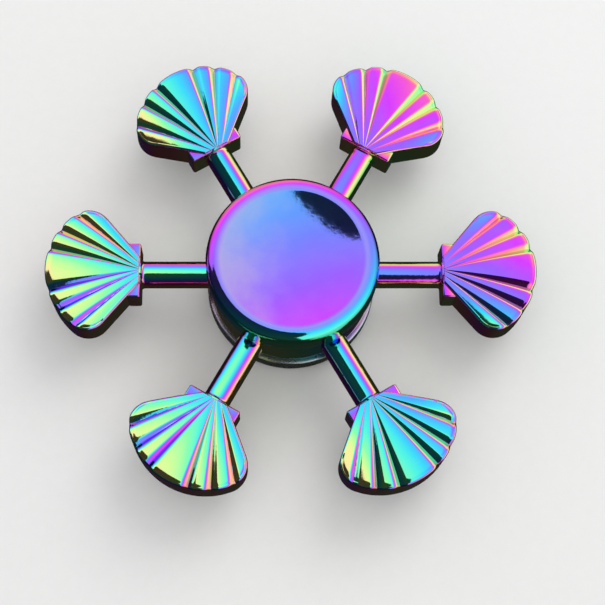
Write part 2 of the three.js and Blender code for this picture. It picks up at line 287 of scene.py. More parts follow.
def boolean(piece, other, operation):
    """Joins other to piece, or cuts it out of piece, and removes other."""
    modifier = piece.modifiers.new("boolean", "BOOLEAN")
    modifier.operation = operation
    modifier.solver = "EXACT"
    modifier.object = other
    evaluated = piece.evaluated_get(bpy.context.evaluated_depsgraph_get())
    mesh = bpy.data.meshes.new_from_object(evaluated)
    piece.modifiers.clear()
    piece.data = mesh
    bpy.data.objects.remove(other)
    return piece


# ---- caps ----


def cap_dish():
    """The dish from the axis out: a parabola, which a second one rolls over to the crest without a step."""
    crest_start = CREST_RADIUS - CREST_WIDTH / 2
    roll = crest_start - DISH_RADIUS
    slope = DISH_DEPTH / (DISH_RADIUS / 2 + roll / 2)
    bottom = CAP_FACE - DISH_DEPTH
    return [
        *((DISH_RADIUS * t, bottom + slope * DISH_RADIUS * t * t / 2) for t in np.linspace(0, 1, 48)),
        *((crest_start - roll * t, CAP_FACE - slope * roll * t * t / 2) for t in np.linspace(0.9, 0, 10)),
    ]


def cap_face():
    """The dish, lip, wall and back that both caps share, from the axis on the face round to the boss."""
    crest_end = CREST_RADIUS + CREST_WIDTH / 2
    side = CAP_RADIUS - crest_end
    angles = np.radians(np.linspace(90, 0, 25))
    return [
        *cap_dish(),
        *((crest_end + side * math.cos(a), CAP_FACE - LIP_DEPTH * (1 - math.sin(a))) for a in angles),
        *straight((CAP_RADIUS, CAP_FACE - LIP_DEPTH - LIP_GAP), (CAP_RADIUS, CAP_BACK + CAP_EDGE), 6),
        *arc((CAP_RADIUS - CAP_EDGE, CAP_BACK + CAP_EDGE), CAP_EDGE, 0, -90, 8),
        *straight((CAP_RADIUS - CAP_EDGE - RUN_GAP, CAP_BACK), (BOSS_RADIUS, CAP_BACK), 6),
        (BOSS_RADIUS, CAP_BACK),
        (BOSS_RADIUS, RACE_HALF_HEIGHT + CLEAR),
    ]


def stud_thread(top, bottom):
    """The rings that stand for the stud's thread in its turned profile, from top to bottom."""
    count = int((top - bottom) / THREAD_PITCH)
    points = []
    for i in range(count):
        z = top - i * THREAD_PITCH
        points += [(STUD_RADIUS, z), (STUD_RADIUS - THREAD_DEPTH, z - THREAD_PITCH / 2)]
    return [*points, (STUD_RADIUS, top - count * THREAD_PITCH)]


def top_cap():
    """The upper cap with the stud below it."""
    stud = [
        *stud_thread(RACE_HALF_HEIGHT + CLEAR, STUD_END + STUD_CHAMFER),
        (STUD_RADIUS - STUD_CHAMFER, STUD_END),
        (0, STUD_END),
    ]
    return turned_object("top_cap", [*cap_face(), *stud], sharp_degrees=55)


def bottom_cap():
    """The lower cap with the sleeve through the bearing, which holds the stud's socket."""
    sleeve = BORE_RADIUS - CLEAR
    socket = STUD_RADIUS + 2 * CLEAR
    end = CLEAR - RACE_HALF_HEIGHT
    core = [
        (sleeve, RACE_HALF_HEIGHT + CLEAR),
        (sleeve, end + SLEEVE_CHAMFER),
        (sleeve - SLEEVE_CHAMFER, end),
        (socket + SLEEVE_CHAMFER, end),
        (socket, end + SLEEVE_CHAMFER),
        (socket, SOCKET_FLOOR),
        (0, SOCKET_FLOOR + SOCKET_POINT),
    ]
    return turn_over(turned_object("bottom_cap", [*cap_face(), *core], sharp_degrees=55))


# ---- bearing ----


def race_groove(land, facing):
    """The raceway's arc in a race whose land is at the given radius; facing is +1 on the outer race."""
    span = math.degrees(math.acos(abs(land - PITCH_RADIUS) / GROOVE_RADIUS))
    if facing > 0:
        return arc((PITCH_RADIUS, 0), GROOVE_RADIUS, span, -span, 16)
    return arc((PITCH_RADIUS, 0), GROOVE_RADIUS, 180 + span, 180 - span, 16)


def inner_race():
    bore = BORE_RADIUS + RACE_EDGE
    land = INNER_LAND - LAND_EDGE
    profile = [
        *arc((bore, RACE_EDGE - RACE_HALF_HEIGHT), RACE_EDGE, 180, 270, 5),
        *arc((land, LAND_EDGE - RACE_HALF_HEIGHT), LAND_EDGE, 270, 360, 3),
        *race_groove(INNER_LAND, -1),
        *arc((land, RACE_HALF_HEIGHT - LAND_EDGE), LAND_EDGE, 0, 90, 3),
        *arc((bore, RACE_HALF_HEIGHT - RACE_EDGE), RACE_EDGE, 90, 180, 5),
    ]
    return turned_object("inner_race", profile, sharp_degrees=35)


def shield_seat():
    """The outer race's steps from its face down to the land, on the +Z side."""
    groove = SHIELD_STEP + SHIELD_THICKNESS + CLEAR
    groove_top = groove + CLIP_THICKNESS + 2 * CLEAR
    return [
        (SHIELD_SEAT, RACE_HALF_HEIGHT),
        (SHIELD_SEAT, groove_top),
        (CLIP_GROOVE, groove_top),
        (CLIP_GROOVE, groove),
        (SHIELD_SEAT, groove),
        (SHIELD_SEAT, SHIELD_STEP),
        (OUTER_LAND, SHIELD_STEP),
    ]


def outer_race():
    rim = RACE_RADIUS - RACE_EDGE
    profile = [
        *arc((rim, RACE_EDGE - RACE_HALF_HEIGHT), RACE_EDGE, 270, 360, 5),
        *arc((rim, RACE_HALF_HEIGHT - RACE_EDGE), RACE_EDGE, 0, 90, 5),
        *shield_seat(),
        *race_groove(OUTER_LAND, 1),
        *mirrored(shield_seat()),
    ]
    return turned_object("outer_race", profile, sharp_degrees=35)


def shield():
    """A pressed shield with a curled inner edge and one shallow step."""
    low = SHIELD_STEP + CLEAR / 2
    high = low + SHIELD_THICKNESS
    rim = SHIELD_SEAT - 2 * CLEAR
    lip = SHIELD_THICKNESS / 2
    profile = [
        *arc((SHIELD_BORE + lip, low + lip), lip, 90, 270, 8),
        (rim - SHIELD_FLAT, low),
        (rim - SHIELD_EDGE, low),
        (rim, low + SHIELD_EDGE),
        (rim, high - SHIELD_EDGE),
        (rim - SHIELD_EDGE, high),
        (rim - SHIELD_RIM, high),
        (rim - SHIELD_RIM - SHIELD_RAMP, high - SHIELD_DIP),
        (SHIELD_BORE + SHIELD_CURL + SHIELD_RAMP, high - SHIELD_DIP),
        (SHIELD_BORE + SHIELD_CURL, high),
    ]
    return turned_object("shield", profile, sharp_degrees=50)


def snap_ring():
    """A flat wire ring with rounded edges and an open mouth, its two ends closed."""
    outer = CLIP_GROOVE - 2 * CLEAR
    low = SHIELD_STEP + SHIELD_THICKNESS + 1.5 * CLEAR
    round_edge = CLIP_THICKNESS / 2
    middle = low + round_edge
    section = [
        *arc((outer - round_edge, middle), round_edge, -90, 90, 6),
        *arc((CLIP_INNER + round_edge, middle), round_edge, 90, 270, 6),
    ]
    angles = np.linspace(CLIP_MOUTH, 2 * math.pi - CLIP_MOUTH, RING_SEGMENTS)
    vertices = [(r * math.cos(a), r * math.sin(a), z) for a in angles for r, z in section]
    rings = numbered_rings(len(angles), len(section))
    return mesh_object("snap_ring", vertices, [tuple(rings[0]), tuple(rings[-1]), *skin(rings)])


def ball_angle(i, offset=0.0):
    """Angle about the spin axis of ball i, or of the rivet after it with offset 0.5."""
    return 2 * math.pi * (i + offset) / BALLS


def on_pitch_circle(piece, angle):
    centre = Vector((math.cos(angle), math.sin(angle), 0)) * PITCH_RADIUS * MM
    piece.data.transform(Matrix.Translation(centre))
    return piece


def ball():
    """A bearing ball: a finely divided cube pushed out to the ball's radius, so its faces are even."""
    shape = bmesh.new()
    bmesh.ops.create_cube(shape, size=2)
    bmesh.ops.subdivide_edges(shape, edges=shape.edges, cuts=15, use_grid_fill=True)
    for vertex in shape.verts:
        vertex.co = vertex.co.normalized() * BALL_RADIUS
    return cube_object("ball", shape)


def cage_ring(radius, turns, sphere, flat, bend):
    """Points round a cage surface: flat between the balls, on a sphere over each, and softly bent between."""
    near = (turns + math.pi / BALLS) % (2 * math.pi / BALLS) - math.pi / BALLS
    away = np.hypot(radius * np.cos(near) - PITCH_RADIUS, radius * np.sin(near))
    cup = np.sqrt(np.maximum(sphere**2 - away**2, 0))
    height = bend * np.logaddexp(cup / bend, flat / bend)
    return np.stack([radius * np.cos(turns), radius * np.sin(turns), height], -1)


def cage_half():
    """The upper half of the ribbon cage: a flat strip that bulges over each ball."""
    turns = np.linspace(0, 2 * math.pi, CAGE_SEGMENTS, endpoint=False)
    radii = np.linspace(CAGE_INNER, CAGE_OUTER, 15)
    inside, flat = BALL_RADIUS + CAGE_GAP, CLEAR / 2
    outside, flat_top = inside + CAGE_THICKNESS, flat + CAGE_THICKNESS
    rows = [cage_ring(radius, turns, outside, flat_top, CAGE_BEND_OUTSIDE) for radius in radii]
    rows += [cage_ring(radius, turns, inside, flat, CAGE_BEND_INSIDE) for radius in radii[::-1]]
    rings = numbered_rings(len(rows), CAGE_SEGMENTS)
    return mesh_object("cage_half", np.concatenate(rows), skin([*rings, rings[0]]), sharp_degrees=50)


def cage_rivet():
    """A rivet through both halves of the cage, with a round head at each end."""
    seat = CAGE_THICKNESS + 2 * CLEAR
    angles = np.linspace(0, 1.5, 8)
    head = [(RIVET_HEAD_RADIUS * math.cos(a), seat + RIVET_HEAD * math.sin(a)) for a in angles]
    upper = [(RIVET_RADIUS, seat), *head, (0, seat + RIVET_HEAD)]
    return turned_object("cage_rivet", [*mirrored(upper), *upper], segments=32)


# ---- hub ring ----


def radial_hole(ring, i, inner, outer, radius):
    """Cuts a round hole along arm i's line, between two distances from the axis."""
    cutter = rod_along_x("hole", [(inner, radius), (outer, radius)])
    cutter.data.transform(arm_turn(i))
    boolean(ring, cutter, "DIFFERENCE")


def hub_ring():
    """The ring round the bearing, with a seat and a hole for each arm."""
    bore = RACE_RADIUS + 2 * CLEAR
    flat = RACE_HALF_HEIGHT - HUB_EDGE
    edge = HUB_RADIUS - HUB_EDGE
    profile = [
        (bore, HUB_CHAMFER - RACE_HALF_HEIGHT),
        (bore + HUB_CHAMFER, -RACE_HALF_HEIGHT),
        *arc((edge, -flat), HUB_EDGE, -90, 0, 14),
        *straight((HUB_RADIUS, RUN_GAP - flat), (HUB_RADIUS, flat - RUN_GAP), 8),
        *arc((edge, flat), HUB_EDGE, 0, 90, 14),
        (bore + HUB_CHAMFER, RACE_HALF_HEIGHT),
        (bore, RACE_HALF_HEIGHT - HUB_CHAMFER),
    ]
    ring = turned_object("hub_ring", profile)
    for i in range(ARMS):
        radial_hole(ring, i, HUB_RADIUS - SEAT_DEPTH, HUB_RADIUS + 2, ROD_RADIUS + CLEAR)
        radial_hole(ring, i, RACE_RADIUS - 1, HUB_RADIUS + 1, TAIL_RADIUS + CLEAR)
    smooth(ring.data)
    return ring


# ---- arms ----


def arm_turn(i):
    return Matrix.Rotation(2 * math.pi * i / ARMS, 4, "Z")


def rod_along_x(name, steps, segments=96):
    """A round bar along +X; steps lists [x, radius] from one end to the other."""
    profile = [(0, steps[0][0]), *((radius, x) for x, radius in steps), (0, steps[-1][0])]
    piece = turned_object(name, profile, segments)
    piece.data.transform(Matrix.Rotation(math.pi / 2, 4, "Y"))
    return piece


def rod_fillet():
    """The rod's flare where it meets the bar, as [x, radius]."""
    angles = np.radians(np.linspace(0, 90, 13))
    away = [ROD_FILLET * (1 - math.sin(a)) for a in angles]
    flare = [ROD_FILLET * (1 - math.cos(a)) for a in angles]
    return [(BASE_RADIUS - x, ROD_RADIUS + radius) for x, radius in zip(away, flare)]


def arm_rod():
    """The tail that sits in the hub, the rod and the fillet that runs up to the bar."""
    tail_start = RACE_RADIUS + TAIL_GAP
    rod_start = HUB_RADIUS - SEAT_DEPTH + CLEAR
    fillet = rod_fillet()
    shaft_start = rod_start + ROD_CHAMFER
    shaft = fillet[0][0] - rod_start - ROD_CHAMFER
    steps = [
        (tail_start, TAIL_RADIUS - TAIL_CHAMFER),
        (tail_start + TAIL_CHAMFER, TAIL_RADIUS),
        (rod_start, TAIL_RADIUS),
        (rod_start, ROD_RADIUS - ROD_CHAMFER),
        (shaft_start, ROD_RADIUS),
        *((shaft_start + shaft * t, ROD_RADIUS) for t in np.linspace(0.05, 0.95, 12)),
        *fillet,
        (BASE_RADIUS + ROD_OVERLAP, fillet[-1][1]),
    ]
    return rod_along_x("rod", steps)


def arm_bar():
    """The straight bar that the shell fans out of, with rounded edges."""
    shape = bmesh.new()
    bmesh.ops.create_cube(shape, size=1)
    size = Vector((BAR_DEPTH, 2 * BAR_HALF_WIDTH, 2 * BAR_HALF_HEIGHT))
    bmesh.ops.scale(shape, vec=size, verts=shape.verts)
    bmesh.ops.bevel(shape, geom=shape.edges[:], offset=BAR_EDGE, segments=6, profile=0.5, affect="EDGES")
    bmesh.ops.translate(shape, vec=(BASE_RADIUS + BAR_DEPTH / 2, 0, 0), verts=shape.verts)
    return cube_object("bar", shape)


def fan_line(place):
    """Start point and unit direction, seen from above, of the fan's ruled line at place -1 ... 1."""
    start = np.array([0, FAN_HALF_BASE * np.sign(place) * abs(place) ** 4])
    angle = FAN_SIDE_ANGLE * place
    return start, np.array([math.cos(angle), math.sin(angle)])


def run_to_circle(start, direction, centre, radius):
    """How far a line runs from start before it leaves a circle."""
    offset = start - centre
    along = offset @ direction
    return -along + math.sqrt(max(along * along - offset @ offset + radius * radius, 0))


def fan_shoulder():
    """The middle, from FAN_CENTRE, of the small arc between the fan's straight side and its wide arc."""
    side = np.array([math.cos(FAN_SIDE_ANGLE), math.sin(FAN_SIDE_ANGLE)])
    inward = np.array([side[1], -side[0]])
    corner = np.array([0, FAN_HALF_BASE]) + inward * FAN_SHOULDER
    run = run_to_circle(corner, side, FAN_CENTRE, FAN_ARC_RADIUS - FAN_SHOULDER)
    return corner - FAN_CENTRE + side * run


def fan_reach(start, direction, inset):
    """How far a ruled line runs before it meets the fan's outline moved in by inset."""
    run = run_to_circle(start, direction, FAN_CENTRE, FAN_ARC_RADIUS - inset)
    hit = start + direction * run - FAN_CENTRE
    shoulder = fan_shoulder()
    if abs(math.atan2(hit[1], hit[0])) > math.atan2(shoulder[1], shoulder[0]):
        centre = FAN_CENTRE + shoulder * np.array([1, math.copysign(1, hit[1])])
        run = run_to_circle(start, direction, centre, FAN_SHOULDER - inset)
    return run


def groove_depth(points):
    """How deep the six grooves cut at points seen from above: each a V whose shoulders roll into the ribs."""
    depth = np.zeros(len(points))
    for place in (*GROOVE_PLACES, *(-place for place in GROOVE_PLACES)):
        start, direction = fan_line(place)
        offset = points - start
        along = np.maximum(offset @ direction, 0)
        across = np.abs(offset[:, 0] * direction[1] - offset[:, 1] * direction[0])
        flat = GROOVE_FLAT * along + GROOVE_LEAST_FLAT
        roll = GROOVE_SHOULDER * along + GROOVE_LEAST_SHOULDER
        outside = np.clip((flat + roll - across) / roll, 0, 1)
        depth += GROOVE_SLOPE * (np.maximum(flat - across, 0) + roll * outside**2 / 2)
    return depth


def rib_crown(place, along):
    """How far a rib's crowned top stands up along a ruled line: most at mid-rib, nothing at its edges."""
    edges = (-GROOVE_PLACES[0], *GROOVE_PLACES, 1.0)
    rib = np.searchsorted(GROOVE_PLACES, abs(place))
    half = (edges[rib + 1] - edges[rib]) / 2
    share = (abs(place) - edges[rib]) / half - 1
    return RIB_CROWN * half * FAN_SIDE_ANGLE * along * (1 - share * share) / 2


def rim_roll(to_rim):
    """How far the ribs' ends roll down towards the rim, by the distance left to it."""
    return RIM_SLOPE * np.maximum(RIM_ROLL - to_rim, 0) ** 2 / (2 * RIM_ROLL)


def fan_dome(points):
    """The dome that the ribs stand on: highest near the rim, and down at the bar's level at the apex."""
    sag = ((points[:, 0] - FAN_CREST) ** 2 + points[:, 1] ** 2) / (2 * FAN_DOME_RADIUS)
    return FAN_TOP - sag


def fan_notch(place):
    """How far the scalloped rim draws in at a place, deepest at the grooves."""
    nearest = min(abs(abs(place) - groove) for groove in GROOVE_PLACES)
    return FAN_NOTCH * math.exp(-((nearest / FAN_NOTCH_WIDTH) ** 2))


def fan_top():
    """The ruled grid of the fan's top: points seen from above, their heights, and the rim without notches."""
    grid = np.zeros((FAN_ACROSS + 1, FAN_ALONG + 1, 2))
    height = np.zeros((FAN_ACROSS + 1, FAN_ALONG + 1))
    rim = np.zeros((FAN_ACROSS + 1, 2))
    shares = np.linspace(0, 1, FAN_ALONG + 1)
    for i, place in enumerate(np.linspace(-1, 1, FAN_ACROSS + 1)):
        start, direction = fan_line(place)
        # The ruled lines start a little up the fan, and the outer ones keep clear of the straight sides.
        start = start + direction * FAN_START / direction[0]
        start[1] -= place * abs(place) ** 3 * FAN_EDGE / math.cos(FAN_SIDE_ANGLE)
        run = fan_reach(start, direction, FAN_EDGE)
        rim[i] = start + direction * run
        steps = (run - fan_notch(place)) * shares
        grid[i] = start + direction * steps[:, None]
        grooved = fan_dome(grid[i]) - groove_depth(grid[i])
        height[i] = grooved + rib_crown(place, steps) - rim_roll(steps[-1] - steps)
    return grid.reshape(-1, 2), height.ravel(), rim


def fan_top_faces():
    columns = FAN_ALONG + 1
    corners = [i * columns + j for i in range(FAN_ACROSS) for j in range(FAN_ALONG)]
    return [(a, a + 1, a + columns + 1, a + columns) for a in corners]


def fan_loop():
    """The grid's edge as one ring: out along one side, round the rim, back and along the base."""
    columns = FAN_ALONG + 1
    return [
        *range(FAN_ALONG),
        *(i * columns + FAN_ALONG for i in range(FAN_ACROSS)),
        *(FAN_ACROSS * columns + j for j in range(FAN_ALONG, 0, -1)),
        *(i * columns for i in range(FAN_ACROSS, 0, -1)),
    ]


def outward_normals(ring):
    """Unit directions, seen from above, that point out of a closed ring of points."""
    tangent = np.roll(ring, -1, 0) - np.roll(ring, 1, 0)
    normal = np.column_stack([tangent[:, 1], -tangent[:, 0]])
    return normal / np.linalg.norm(normal, axis=1)[:, None]


def skirt_rows(top, radius):
    """The skirt's rows below the top's edge: share of the way to the unnotched rim, distance out and height."""
    wall_top, wall_bottom = top - radius, FAN_BOTTOM + FAN_BOTTOM_EDGE
    rows = []
    for a in np.radians(np.linspace(0, 90, 11)[1:]):
        rows.append((0.0, radius * math.sin(a), top - radius * (1 - math.cos(a))))
    for share in np.linspace(0, 1, 9)[1:]:
        eased = share * share * (3 - 2 * share)
        rows.append((eased, radius, wall_top + (wall_bottom - wall_top) * share))
    for a in np.radians(np.linspace(0, 90, 9)[1:]):
        drawn_in = FAN_BOTTOM_EDGE * (1 - math.cos(a))
        rows.append((1.0, radius - drawn_in, wall_bottom - FAN_BOTTOM_EDGE * math.sin(a)))
    return rows


def shell_fan():
    """The ribbed shell: a ruled grid for the top, then skirts over the rim, down the wall and under."""
    flat, height, rim = fan_top()
    loop = fan_loop()
    edge = flat[loop]
    target = edge.copy()
    target[FAN_ALONG:FAN_ALONG + FAN_ACROSS + 1] = rim
    normal = outward_normals(target)
    radius = np.where(target[:, 0] < FAN_START + 0.001, FAN_BASE_EDGE, FAN_EDGE)
    rows = skirt_rows(height[loop], radius)
    vertices = [np.column_stack([flat, height])]
    for share, out, level in rows:
        ring = edge + (target - edge) * share + normal * np.broadcast_to(out, len(loop))[:, None]
        vertices.append(np.column_stack([ring, np.broadcast_to(level, len(loop))]))
    vertices.append(np.array([[*target.mean(0), FAN_BOTTOM]]))
    points = np.concatenate(vertices)
    points[:, 0] += BASE_RADIUS
    rings = [loop, *numbered_rings(len(rows), len(loop), len(flat))]
    underside = [(a, b, len(points) - 1) for a, b in neighbours(rings[-1])]
    return mesh_object("fan", points, [*fan_top_faces(), *skin(rings), *underside])


def shell_arm():
    """One casting along +X: the fan, its bar and the rod, joined into one closed mesh."""
    arm = boolean(shell_fan(), arm_bar(), "UNION")
    return boolean(arm, arm_rod(), "UNION")


# ---- materials ----


class Graph:
    """Short calls that add nodes to a material's or a world's tree and join them."""

    def __init__(self, tree):
        self.tree = tree
        tree.nodes.clear()

    def node(self, kind, inputs=None, **settings):
        made = self.tree.nodes.new(kind)
        for key, value in settings.items():
            setattr(made, key, value)
        for key, value in (inputs or {}).items():
            self.join(value, made.inputs[key])
        return made

    def join(self, value, socket):
        if isinstance(value, bpy.types.NodeSocket):
            self.tree.links.new(value, socket)
        else:
            socket.default_value = value

    def math(self, operation, first, second=0.0, third=0.0):
        return self.node("ShaderNodeMath", {0: first, 1: second, 2: third}, operation=operation).outputs[0]

    def add(self, *terms):
        total = terms[0]
        for term in terms[1:]:
            total = self.math("ADD", total, term)
        return total

    def less(self, first, second):
        return self.math("SUBTRACT", first, second)

    def times(self, first, second):
        return self.math("MULTIPLY", first, second)

    def squares(self, x, y):
        return self.add(self.times(x, x), self.times(y, y))

    def length(self, x, y):
        return self.math("SQRT", self.squares(x, y))

    def along(self, x, y, angle):
        """How far (x, y) reaches in the direction of an angle."""
        return self.add(self.times(x, math.cos(angle)), self.times(y, math.sin(angle)))

    def smoothstep(self, value, low, high):
        inputs = {"Value": value, "From Min": low, "From Max": high}
        return self.node("ShaderNodeMapRange", inputs, interpolation_type="SMOOTHSTEP").outputs["Result"]

    def parts(self, vector):
        return self.node("ShaderNodeSeparateXYZ", {0: vector}).outputs

    def mix(self, share, first, second):
        """A mix of two colours, which are sockets 6 and 7 of a mix node, with the result as its output 2."""
        return self.node("ShaderNodeMix", {"Factor": share, 6: first, 7: second}, data_type="RGBA").outputs[2]

    def noise(self, vector, scale, detail=2.0, roughness=0.5):
        inputs = {"Vector": vector, "Scale": scale, "Detail": detail, "Roughness": roughness}
        return self.node("ShaderNodeTexNoise", inputs).outputs["Fac"]

    def unlike_in_mirrors(self, plain, mirrored):
        """The plain shader, but the mirrored one where a mirror reflection sees it."""
        glossy = self.node("ShaderNodeLightPath").outputs["Is Glossy Ray"]
        shaders = {0: glossy, 1: plain.outputs[0], 2: mirrored.outputs[0]}
        return self.node("ShaderNodeMixShader", shaders).outputs[0]


def srgb(red, green, blue):
    """A linear colour with alpha from 0 to 255 screen values."""
    def linear(value):
        value /= 255
        return value / 12.92 if value <= 0.04045 else ((value + 0.055) / 1.055) ** 2.4
    return (linear(red), linear(green), linear(blue), 1.0)


# One order of interference colours as the film thickens: place on the ramp, then the colour.
FILM_COLOURS = (
    (0.00, srgb(255, 214, 158)),
    (0.05, srgb(248, 238, 156)),
    (0.11, srgb(206, 252, 150)),
    (0.19, srgb(132, 252, 172)),
    (0.27, srgb(72, 244, 220)),
    (0.36, srgb(44, 214, 248)),
    (0.45, srgb(70, 170, 252)),
    (0.55, srgb(112, 128, 254)),
    (0.65, srgb(152, 88, 254)),
    (0.75, srgb(212, 50, 252)),
    (0.84, srgb(246, 84, 206)),
    (0.92, srgb(255, 140, 140)),
    (1.00, srgb(255, 214, 158)),
)
WHITE = (1, 1, 1, 1)
FADED_METAL = srgb(208, 196, 196)
PIT_COLOUR = srgb(60, 52, 70)
SMUDGE_COLOUR = srgb(214, 210, 226)


class Film(NamedTuple):
    """How thick a piece's interference film is, in orders of colour."""

    start: float  # lying flat at the axis
    per_mm: tuple  # added per millimetre along X and along Y
    twist: float  # added per square millimetre of x times y
    sides: float  # lost away from the arms' own lines
    least: float  # the least that a flat place has
    turn: float  # the direction, in degrees, that a surface with more film faces
    bend: float  # the tilt at which that extra grows fastest
    width: float  # the range of tilt that it grows over
    steep: float  # how much the tilt's square counts with the tilt
    lift: float  # the extra on the most tilted surface
    drag: float  # how much of that is lost per order of flat film
    shelf: float  # the share of the extra that a bar's flat top has


ARM_FILM = Film(
    start=0.39, per_mm=(0.0092, 0.0060), twist=0.00012, sides=0.25, least=0.11, turn=33,
    bend=0.35, width=0.55, steep=1.65, lift=1.0, drag=0.73, shelf=0.62,
)
HUB_FILM = ARM_FILM._replace(sides=0.0, steep=0.2)
CAP_FILM = Film(
    start=0.59, per_mm=(-0.001, 0.002), twist=0.0, sides=0.0, least=0.11, turn=106,
    bend=0.0, width=0.68, steep=0.0, lift=0.46, drag=0.1, shelf=0.0,
)


def new_material(name):
    material = bpy.data.materials.new(name)
    material.use_nodes = True
    return material, Graph(material.node_tree)


def millimetres(graph):
    """The place on the object in millimetres, and the surface's direction, both in the object's own frame."""
    made = graph.node("ShaderNodeTexCoord")
    inputs = {0: made.outputs["Object"], "Scale": 1 / MM}
    return graph.node("ShaderNodeVectorMath", inputs, operation="SCALE").outputs[0], made.outputs["Normal"]


def flat_film(graph, place, film):
    """The film's thickness where the surface lies flat."""
    x, y, _ = graph.parts(place)
    off_arm = graph.less(1.0, graph.math("COSINE", graph.times(graph.math("ARCTAN2", y, x), ARMS)))
    thickness = graph.add(
        film.start,
        graph.times(x, film.per_mm[0]),
        graph.times(y, film.per_mm[1]),
        graph.times(graph.times(x, y), film.twist),
        graph.times(graph.times(off_arm, off_arm), -film.sides),
        graph.times(graph.add(graph.noise(place, scale=0.12, detail=1.0), -0.5), 0.05),
    )
    return graph.math("SMOOTH_MAX", thickness, film.least, 0.1)


def tilt_share(graph, normal, film):
    """How much of the extra film a surface has by its tilt: nothing lying flat, all of it at the most."""
    tilt_x, tilt_y, _ = graph.parts(normal)
    tilt = graph.along(tilt_x, tilt_y, math.radians(film.turn))
    counted = graph.add(tilt, graph.times(graph.squares(tilt_x, tilt_y), film.steep), -film.bend)
    swing = graph.math("TANH", graph.times(counted, 1 / film.width))
    level = math.tanh(film.bend / film.width)
    return graph.times(graph.add(swing, level), 1 / (1 + level))


def bar_top_share(graph, place, normal, film):
    """How much of the extra film the flat tops of the bars have, growing outwards."""
    x, y, z = graph.parts(place)
    on_bar = graph.smoothstep(graph.math("ABSOLUTE", graph.add(z, -BAR_HALF_HEIGHT)), 0.05, 0.02)
    facing_up = graph.smoothstep(graph.parts(normal)[2], 0.8, 0.95)
    outward = graph.smoothstep(graph.length(x, y), BASE_RADIUS - 1.5, BASE_RADIUS + BAR_DEPTH + 0.3)
    return graph.times(graph.times(on_bar, facing_up), graph.times(outward, film.shelf))


def film_phase(graph, place, normal, film):
    """The film's thickness in orders at a place whose surface faces along normal."""
    flat = flat_film(graph, place, film)
    share = graph.add(tilt_share(graph, normal, film), bar_top_share(graph, place, normal, film))
    return graph.add(flat, graph.times(share, graph.add(film.lift, graph.times(flat, -film.drag))))


def film_colour(graph, phase):
    ramp = graph.node("ShaderNodeValToRGB", {0: graph.math("FRACT", phase)})
    stops = ramp.color_ramp.elements
    while len(stops) < len(FILM_COLOURS):
        stops.new(0.5)
    for stop, (position, colour) in zip(stops, FILM_COLOURS):
        stop.position = position
        stop.color = colour
    return ramp.outputs["Color"]


def finish_metal(graph, colour, roughness, bumps):
    """The metal shader of a material, with its bump layers as (height, strength, distance in millimetres)."""
    inputs = {"Base Color": colour, "Roughness": roughness, "Metallic": 1.0}
    for height, strength, distance in bumps:
        bump = {"Height": height, "Strength": strength, "Distance": distance * MM}
        if "Normal" in inputs:
            bump["Normal"] = inputs["Normal"]
        inputs["Normal"] = graph.node("ShaderNodeBump", bump).outputs["Normal"]
    shader = graph.node("ShaderNodeBsdfPrincipled", inputs)
    graph.node("ShaderNodeOutputMaterial", {"Surface": shader.outputs[0]})


def fading(graph, place, pale):
    """How far a cap's colour fades: by pale all over, more on the dish's left and where the crest has worn."""
    x, y, _ = graph.parts(place)
    radius = graph.length(x, y)
    off_crest = graph.math("ABSOLUTE", graph.add(radius, -CREST_RADIUS))
    patches = graph.times(graph.noise(place, scale=0.13, detail=4.0, roughness=0.6), 14.0)
    left = graph.smoothstep(graph.less(patches, x), 5.0, 21.0)
    dish = graph.smoothstep(radius, CREST_RADIUS + 0.2, DISH_RADIUS)
    worn = graph.smoothstep(off_crest, 0.7, 0.0)
    return graph.add(pale, graph.times(graph.times(left, dish), 0.5), graph.times(worn, 0.2))


def plating(name, film, pale=None, roughness=0.045):
    """Mirror-bright rainbow plating with casting ripple, fine pits and smudges, and faded places on a cap."""
    material, graph = new_material(name)
    place, normal = millimetres(graph)
    colour = film_colour(graph, film_phase(graph, place, normal, film))
    if pale is not None:
        colour = graph.mix(fading(graph, place, pale), colour, FADED_METAL)
    pits = graph.smoothstep(graph.noise(place, scale=5.5, detail=3.0, roughness=0.6), 0.70, 0.76)
    smudge = graph.noise(place, scale=0.35, detail=3.0, roughness=0.6)
    colour = graph.mix(graph.times(pits, 0.35), colour, PIT_COLOUR)
    colour = graph.mix(graph.times(smudge, 0.07), colour, SMUDGE_COLOUR)
    dulled = graph.add(roughness, graph.times(pits, 0.25), graph.times(smudge, 0.05))
    ripple = graph.noise(place, scale=0.8)
    finish_metal(graph, colour, dulled, ((ripple, 0.25, 0.05), (pits, -0.3, 0.02)))
    return material


def steel(name, colour, roughness, grain):
    """Ground or pressed steel: turned lines round the axis, stains and a little wear."""
    material, graph = new_material(name)
    place, _ = millimetres(graph)
    x, y, z = graph.parts(place)
    section = {0: graph.times(graph.length(x, y), grain), 1: graph.times(z, grain), 2: 0.0}
    rings = graph.node("ShaderNodeCombineXYZ", section).outputs[0]
    lines = graph.noise(rings, scale=1.0, detail=3.0, roughness=0.6)
    stain = graph.noise(place, scale=0.5, detail=3.0)
    dark = tuple(channel * 0.62 for channel in colour[:3]) + (1.0,)
    shade = graph.mix(graph.add(graph.times(lines, 0.5), graph.times(stain, 0.3)), colour, dark)
    finish_metal(graph, shade, graph.add(roughness, graph.times(lines, 0.18)), ((lines, 0.15, 0.02),))
    return material


# ---- pieces on their bodies ----


def fit(piece, node, kind, body, material):
    """Names a finished piece, gives it its material and makes it ride and stand for its CAD node."""
    piece.name = f"{node}_{kind}"
    piece.data.name = piece.name
    piece.data.materials.clear()
    piece.data.materials.append(material)
    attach(piece, body)
    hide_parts(node)


